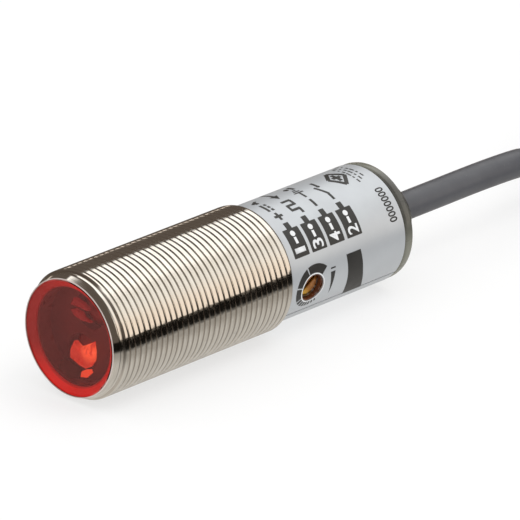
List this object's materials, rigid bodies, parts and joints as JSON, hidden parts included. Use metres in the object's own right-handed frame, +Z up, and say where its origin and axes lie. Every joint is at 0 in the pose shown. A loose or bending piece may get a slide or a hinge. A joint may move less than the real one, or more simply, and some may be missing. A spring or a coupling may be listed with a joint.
{
  "type": "photoelectric sensor",
  "caption": "Cylindrical photoelectric sensor with a fine metric threaded metal barrel, red front lens, side adjuster and a fixed cable.",
  "frame": {"origin": "bottom centre of the sensor's own box, without its free cable: under the middle of its length, on the surface it lies on", "axes": "+Y along the sensor from its lens to its cable, +Z up, +X to the side the adjuster faces (13 degrees below +X)"},
  "size_m": [0.0366, 0.1833, 0.0259],
  "materials": {
    "nickel_plate": "bright nickel plate over brass",
    "silver_label": "satin silver film with dark print",
    "red_lens": "clear red, polished",
    "seal_rubber": "matt black rubber",
    "black_plastic": "fine matt black",
    "clear_red_lens": "polished lens",
    "emitter_lens_red": "polished lens, lit red",
    "sensor_can": "dark polished window",
    "red_led": "diffused red",
    "board_green": "satin solder mask",
    "gold_pins": "gold flash",
    "sleeve_film": "amber insulating film",
    "chip_black": "moulded epoxy",
    "tin_shield": "tinned sheet",
    "capacitor_tan": "ceramic body",
    "amber_led": "diffused amber",
    "trimmer_blue": "moulded body",
    "amber_rotor": "translucent amber",
    "amber_collar": "translucent amber",
    "smoke_cap": "satin smoke grey",
    "brass_clamp": "plain brass",
    "cable_grey": "satin dark grey PVC",
    "core_brown": "PVC core",
    "core_blue": "PVC core",
    "core_black": "PVC core",
    "core_white": "PVC core",
    "tie_black": "ribbed nylon",
    "tinned_copper": "tinned strands"
  },
  "bodies": {
    "root": {"barrel": "nickel_plate", "label": "silver_label", "front_lens": "red_lens", "lens_seal": "seal_rubber", "optics_holder": "black_plastic", "receiver_lens": "clear_red_lens", "emitter_lens": "emitter_lens_red", "receiver_photodiode": "sensor_can", "emitter_led": "red_led", "optics_board": "board_green", "board_pins": "gold_pins", "main_board": "board_green", "insulation_sleeve": "sleeve_film", "control_chip": "chip_black", "amplifier_chip": "chip_black", "receiver_shield": "tin_shield", "output_transistors": "chip_black", "protection_diodes": "chip_black", "capacitors": "capacitor_tan", "resistors": "chip_black", "status_led": "amber_led", "adjuster_body": "trimmer_blue", "adjuster_collar": "amber_collar", "rear_cap": "smoke_cap", "cable_seal": "seal_rubber", "cable_clamp": "brass_clamp", "cable_root": "cable_grey", "wire_brown": "core_brown", "wire_blue": "core_blue", "wire_black": "core_black", "wire_white": "core_white", "cable": "cable_grey", "cable_hank": "cable_grey", "hank_tie": "tie_black", "cable_end": "cable_grey", "lead_brown": "core_brown", "lead_blue": "core_blue", "lead_black": "core_black", "lead_white": "core_white", "lead_tips": "tinned_copper"},
    "adjuster": {"adjuster_rotor": "amber_rotor"}
  },
  "joints": [
    {"name": "adjuster_turn", "type": "hinge", "parent": "root", "child": "adjuster", "pos_m": [0, 0.0072, 0.009], "axis": [0.9744, 0, -0.225], "range_deg": [-125, 125]}
  ]
}
